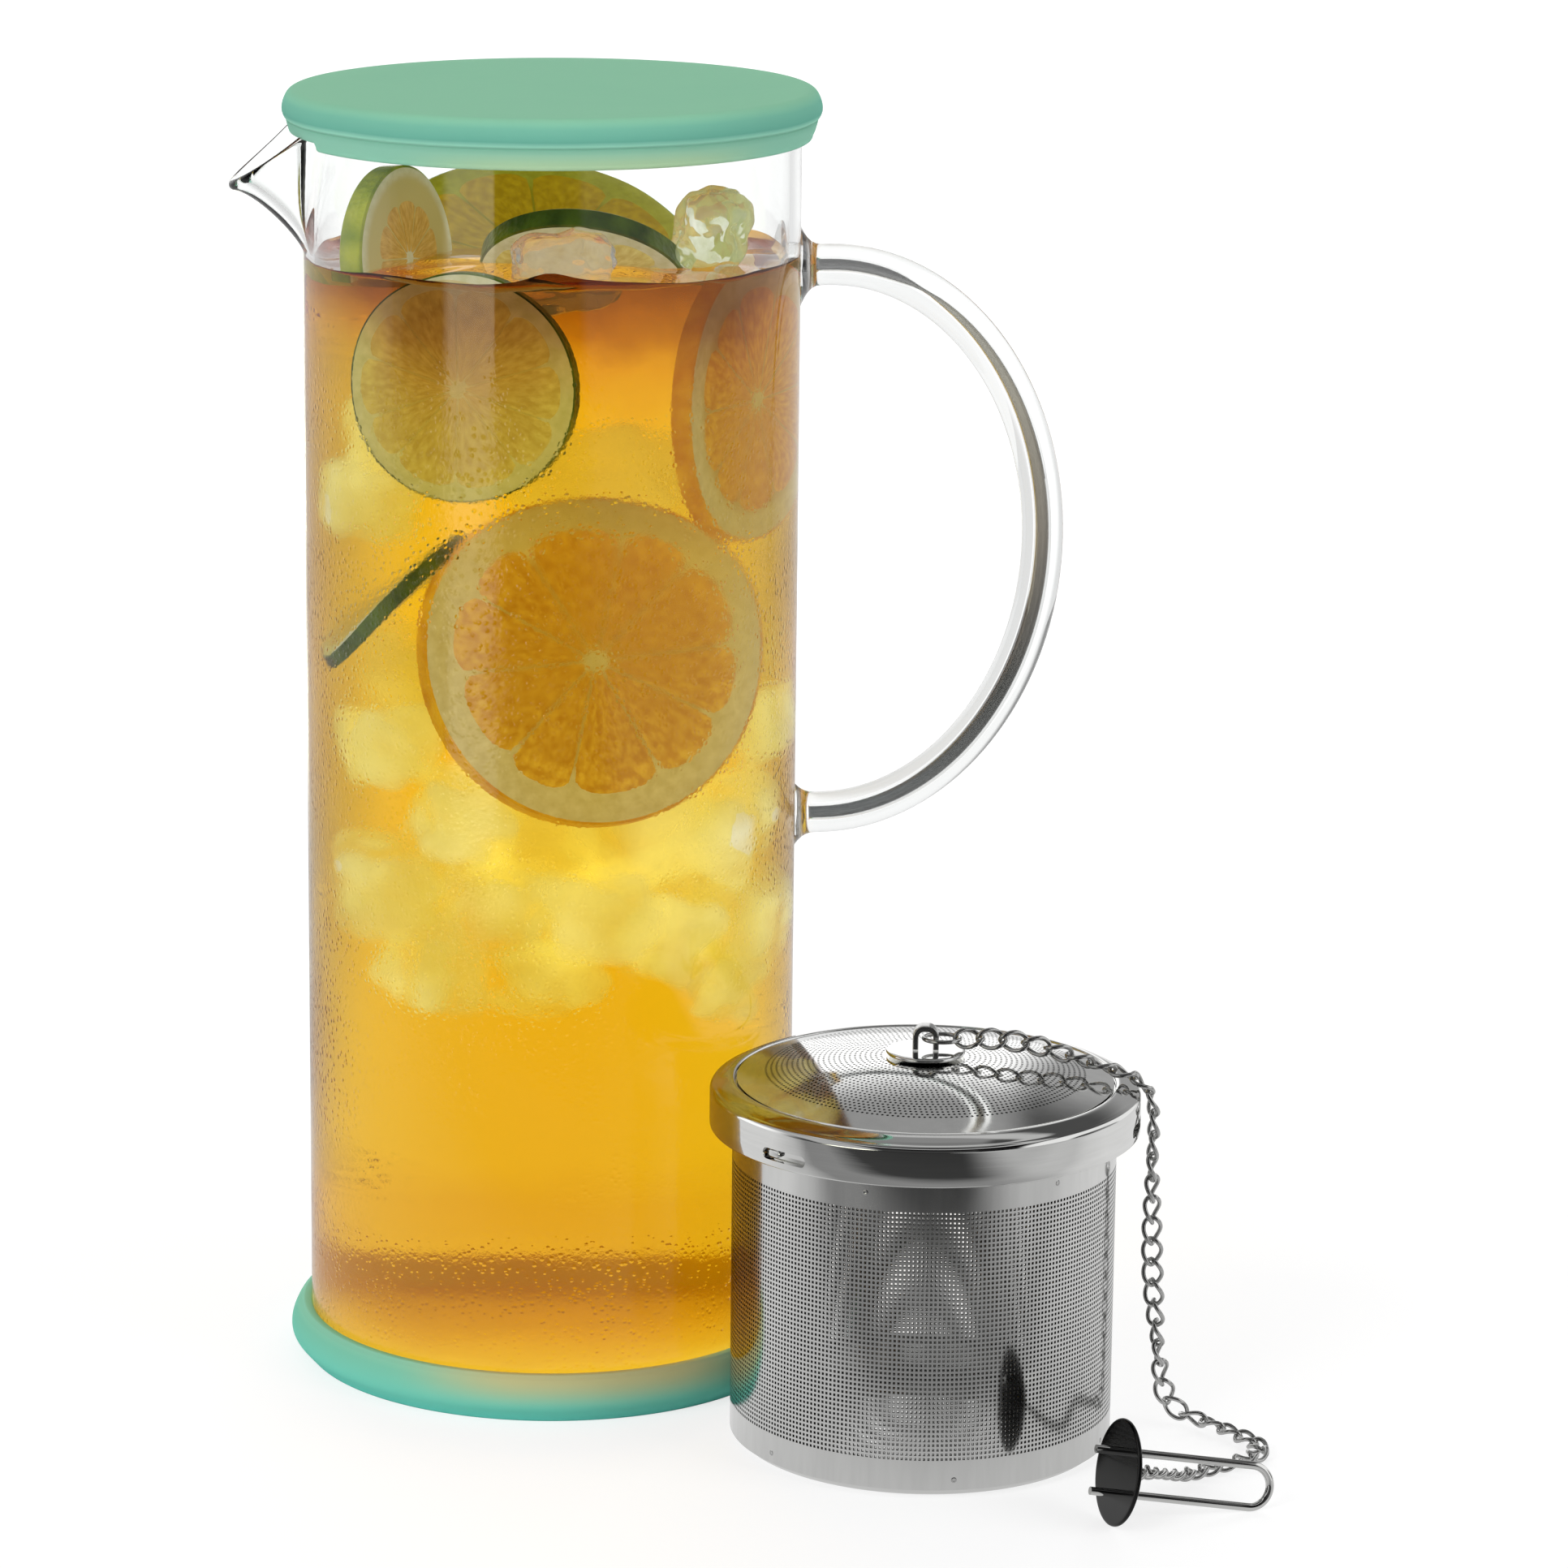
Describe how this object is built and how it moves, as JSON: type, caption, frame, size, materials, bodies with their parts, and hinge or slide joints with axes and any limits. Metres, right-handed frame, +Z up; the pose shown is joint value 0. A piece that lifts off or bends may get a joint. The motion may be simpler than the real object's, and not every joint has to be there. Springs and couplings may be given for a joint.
{
  "type": "iced tea maker",
  "caption": "Tall glass jug with a silicone cap and boot, and a free-standing steel tea infuser with a bayonet lid, chain and spring clip.",
  "frame": {"origin": "centre of the silicone base's underside, on the jug's axis", "axes": "+Z up along the jug's axis, -X towards the spout, +X towards the handle; the infuser stands at +X, -Y beside the jug"},
  "size_m": [0.1915, 0.1802, 0.2552],
  "materials": {
    "silicone": "matt translucent",
    "jug_glass": "clear polished",
    "polished_steel": "mirror polished stainless steel",
    "chain_steel": "bright drawn stainless wire"
  },
  "bodies": {
    "jug_base": {"silicone_base": "silicone"},
    "jug": {"glass_body": "jug_glass", "glass_handle": "jug_glass"},
    "jug_cap": {"silicone_lid": "silicone"},
    "infuser_basket": {"basket_wall": "polished_steel", "basket_floor": "polished_steel", "basket_collar": "polished_steel"},
    "infuser_lid": {"lid_ring": "polished_steel", "lid_dome": "polished_steel", "bracket_plate": "polished_steel", "chain_bracket": "chain_steel"},
    "chain_upper": {"chain_ring": "chain_steel", "chain_link_01": "chain_steel", "chain_link_02": "chain_steel", "chain_link_03": "chain_steel", "chain_link_04": "chain_steel", "chain_link_05": "chain_steel", "chain_link_06": "chain_steel", "chain_link_07": "chain_steel", "chain_link_08": "chain_steel", "chain_link_09": "chain_steel"},
    "chain_drop": {"chain_link_10": "chain_steel", "chain_link_11": "chain_steel", "chain_link_12": "chain_steel", "chain_link_13": "chain_steel", "chain_link_14": "chain_steel", "chain_link_15": "chain_steel", "chain_link_16": "chain_steel", "chain_link_17": "chain_steel", "chain_link_18": "chain_steel", "chain_link_19": "chain_steel", "chain_link_20": "chain_steel", "chain_link_21": "chain_steel", "chain_link_22": "chain_steel", "chain_link_23": "chain_steel", "chain_link_24": "chain_steel", "chain_link_25": "chain_steel"},
    "chain_lower": {"chain_link_26": "chain_steel", "chain_link_27": "chain_steel", "chain_link_28": "chain_steel", "chain_link_29": "chain_steel", "chain_link_30": "chain_steel", "chain_link_31": "chain_steel", "chain_link_32": "chain_steel", "chain_link_33": "chain_steel", "chain_link_34": "chain_steel", "chain_link_35": "chain_steel", "chain_link_36": "chain_steel", "chain_link_37": "chain_steel", "chain_link_38": "chain_steel", "chain_link_39": "chain_steel", "chain_link_40": "chain_steel", "chain_link_41": "chain_steel"},
    "clip": {"clip_disc": "chain_steel", "clip_wire": "polished_steel", "clip_eyelet": "chain_steel"}
  },
  "joints": [
    {"name": "jug_lift", "type": "slide", "parent": "jug_base", "child": "jug", "axis": [0, 0, 1], "range_m": [0, 0.03]},
    {"name": "cap_lift", "type": "slide", "parent": "jug", "child": "jug_cap", "axis": [0, 0, 1], "range_m": [0, 0.04]},
    {"name": "basket_twist", "type": "hinge", "parent": "jug_base", "child": "infuser_basket", "pos_m": [0.0639, -0.0643, 0], "axis": [0, 0, 1], "range_deg": [0, 8]},
    {"name": "infuser_lid_lift", "type": "slide", "parent": "jug_base", "child": "infuser_lid", "axis": [0, 0, 1], "range_m": [0, 0.04]},
    {"name": "chain_swing", "type": "hinge", "parent": "infuser_lid", "child": "chain_upper", "pos_m": [0.0658, -0.0647, 0.0797], "axis": [-0.196, -0.9806, 0], "range_deg": [0, 35]},
    {"name": "chain_drop_swing", "type": "hinge", "parent": "chain_upper", "child": "chain_drop", "pos_m": [0.1061, -0.0727, 0.0694], "axis": [-0.196, -0.9806, 0], "range_deg": [0, 30]},
    {"name": "chain_lower_swing", "type": "hinge", "parent": "chain_drop", "child": "chain_lower", "pos_m": [0.1156, -0.0689, 0.003], "axis": [0, 0, 1], "range_deg": [-10, 10]},
    {"name": "clip_swing", "type": "hinge", "parent": "chain_lower", "child": "clip", "pos_m": [0.0922, -0.1174, 0.0097], "axis": [0, 0, 1], "range_deg": [-15, 15]}
  ]
}
